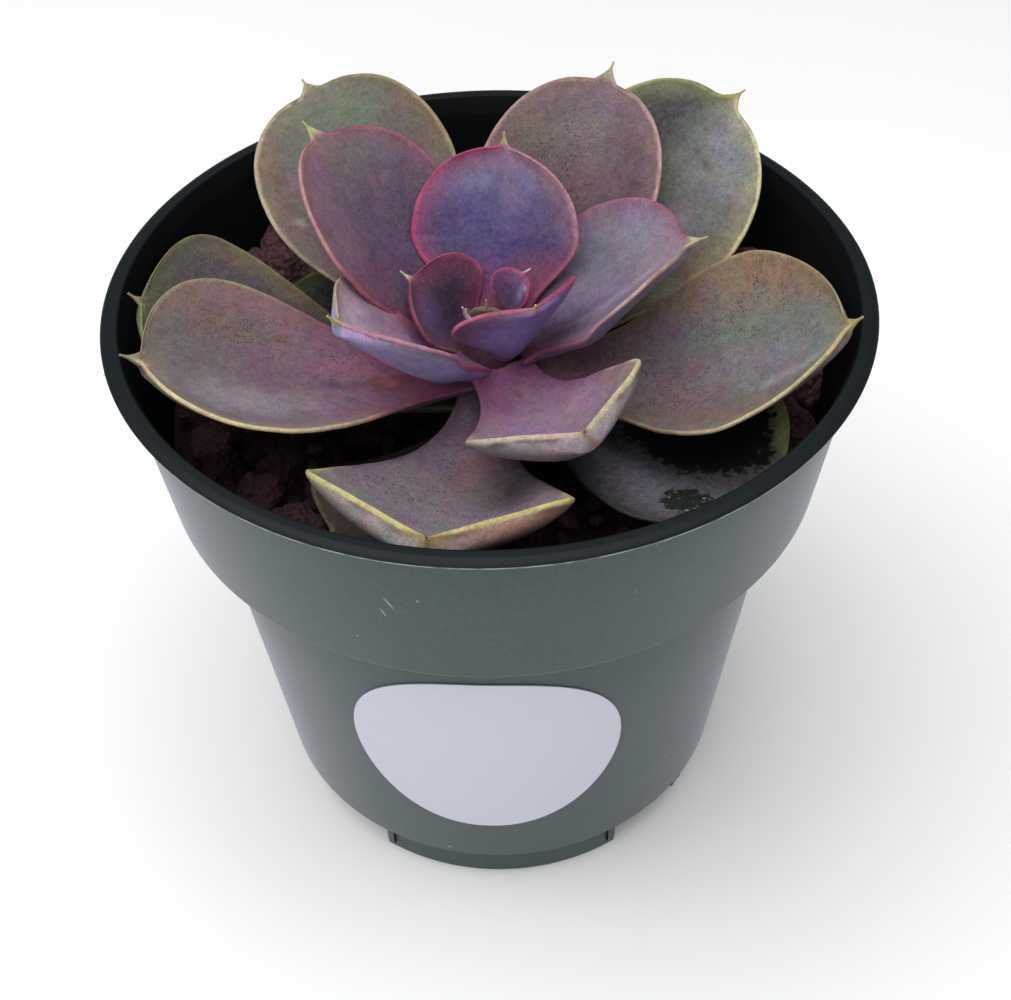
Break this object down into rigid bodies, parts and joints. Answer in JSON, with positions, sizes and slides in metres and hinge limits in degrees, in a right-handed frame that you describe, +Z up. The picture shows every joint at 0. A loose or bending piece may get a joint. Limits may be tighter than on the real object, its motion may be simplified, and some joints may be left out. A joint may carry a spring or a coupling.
{
  "type": "potted echeveria",
  "caption": "Rosette of fleshy pointed violet and green leaves growing in gravel in a round dark green nursery pot with a blank label.",
  "frame": {"origin": "middle of the pot's foot, on the surface that it stands on", "axes": "+Z up, -Y towards the front of the pot where the label is, +X to the right seen from the front"},
  "size_m": [0.108, 0.108, 0.1106],
  "materials": {
    "pot_plastic": "moulded polypropylene, dark grey-green, satin with fine scuffs",
    "label_film": "smooth coated paper, blank, pale lilac white",
    "potting_mix": "damp peat and bark crumbs",
    "lava_stone": "rough porous lava, dark reddish brown",
    "stem_bark": "dry greenish brown skin",
    "outer_leaf": "waxy bloom, olive green to grey lilac, pale yellow margin",
    "middle_leaf": "waxy bloom, dusty mauve, cream to pink margin",
    "inner_leaf": "waxy bloom, violet, magenta margin"
  },
  "bodies": {
    "root": {"pot": "pot_plastic", "label": "label_film", "potting_mix": "potting_mix", "lava_gravel": "lava_stone", "stem": "stem_bark", "leaf_01": "outer_leaf", "leaf_02": "outer_leaf", "leaf_03": "outer_leaf", "leaf_04": "outer_leaf", "leaf_05": "outer_leaf", "leaf_06": "outer_leaf", "leaf_07": "middle_leaf", "leaf_08": "middle_leaf", "leaf_09": "middle_leaf", "leaf_10": "middle_leaf", "leaf_11": "middle_leaf", "leaf_12": "middle_leaf", "leaf_13": "middle_leaf", "leaf_14": "inner_leaf", "leaf_15": "inner_leaf", "leaf_16": "inner_leaf", "leaf_17": "inner_leaf", "leaf_18": "inner_leaf", "leaf_19": "inner_leaf", "leaf_20": "inner_leaf"}
  },
  "joints": []
}
